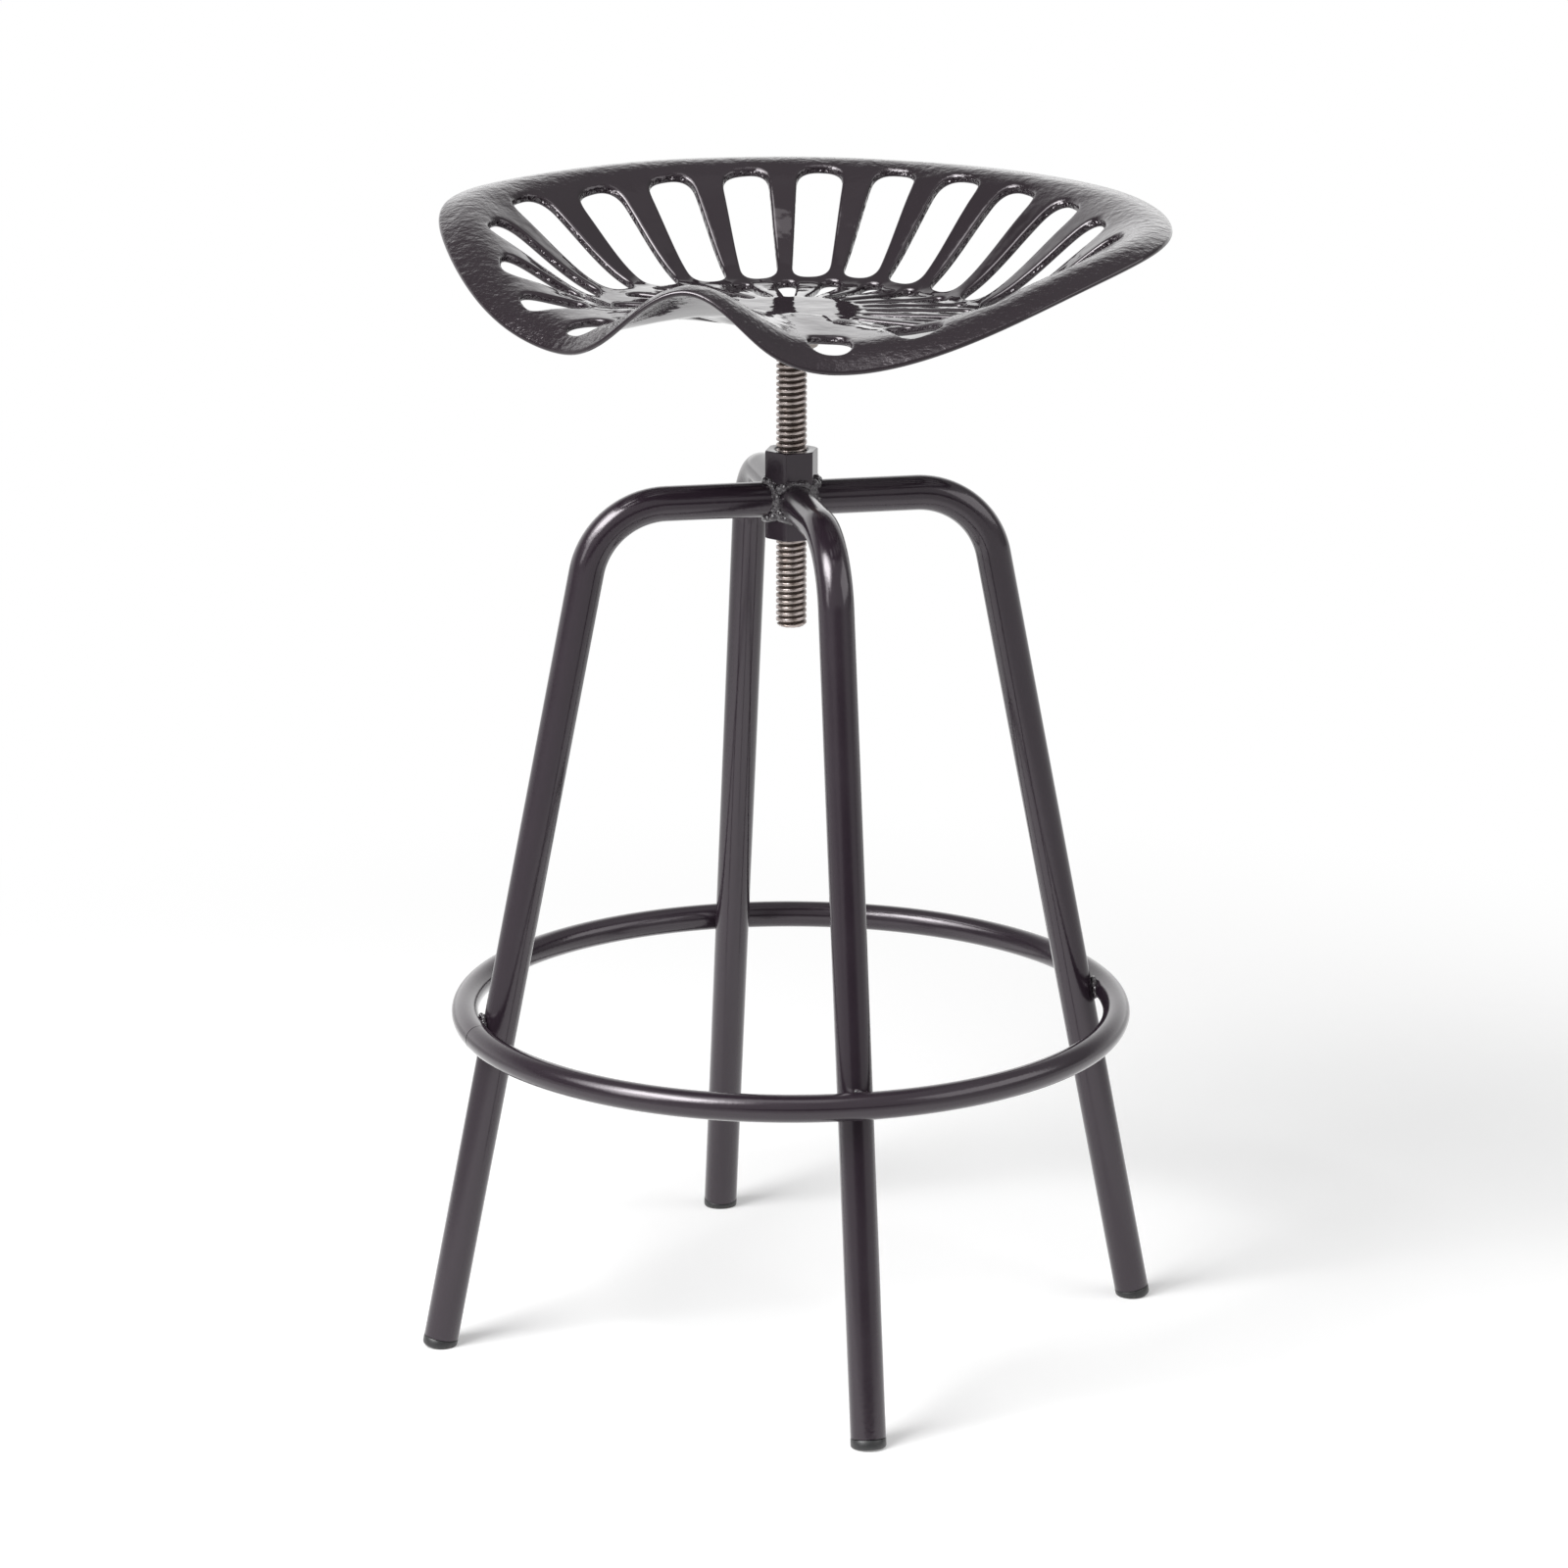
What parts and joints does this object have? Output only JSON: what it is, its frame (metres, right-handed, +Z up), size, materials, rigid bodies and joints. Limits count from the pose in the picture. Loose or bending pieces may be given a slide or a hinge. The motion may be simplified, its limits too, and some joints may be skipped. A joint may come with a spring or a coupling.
{
  "type": "tractor seat stool",
  "caption": "Stool with a slotted cast bucket seat on a screw spindle that turns to set its height, over a hub nut, four bent tube legs and a round foot ring.",
  "frame": {"origin": "centre of the stool on the floor", "axes": "+Z up along the screw spindle, the seat's front with its raised pommel towards -Y, +X to the sitter's left as they face -Y"},
  "size_m": [0.4902, 0.4504, 0.7546],
  "materials": {
    "frame_paint": "gloss black paint over bent steel tube and welds",
    "pan_paint": "gloss black paint over a rough casting, smooth in the middle",
    "bare_steel": "bare, oiled brown-grey screw steel",
    "plug_plastic": "moulded black plastic"
  },
  "bodies": {
    "frame": {"hub_nut": "frame_paint", "foot_ring": "frame_paint", "leg_front_right": "frame_paint", "leg_rear_right": "frame_paint", "leg_rear_left": "frame_paint", "leg_front_left": "frame_paint", "hub_weld_front_right": "frame_paint", "hub_weld_rear_right": "frame_paint", "hub_weld_rear_left": "frame_paint", "hub_weld_front_left": "frame_paint", "ring_weld_front_right": "frame_paint", "ring_weld_rear_right": "frame_paint", "ring_weld_rear_left": "frame_paint", "ring_weld_front_left": "frame_paint", "foot_plug_front_right": "plug_plastic", "foot_plug_rear_right": "plug_plastic", "foot_plug_rear_left": "plug_plastic", "foot_plug_front_left": "plug_plastic"},
    "lift": {"boss_washer": "bare_steel"},
    "seat": {"seat_pan": "pan_paint", "screw_spindle": "bare_steel", "lock_nut": "bare_steel"}
  },
  "joints": [
    {"name": "screw_lift", "type": "slide", "parent": "frame", "child": "lift", "axis": [0, 0, 1], "range_m": [-0.066, 0.056]},
    {"name": "seat_turn", "type": "hinge", "parent": "lift", "child": "seat", "pos_m": [0, 0, 0.57], "axis": [0, 0, 1], "range_deg": [-5940, 5040]}
  ],
  "couplings": [
    {"joint": "screw_lift", "follows": "seat_turn", "m_per_rad": 0.00063662}
  ]
}
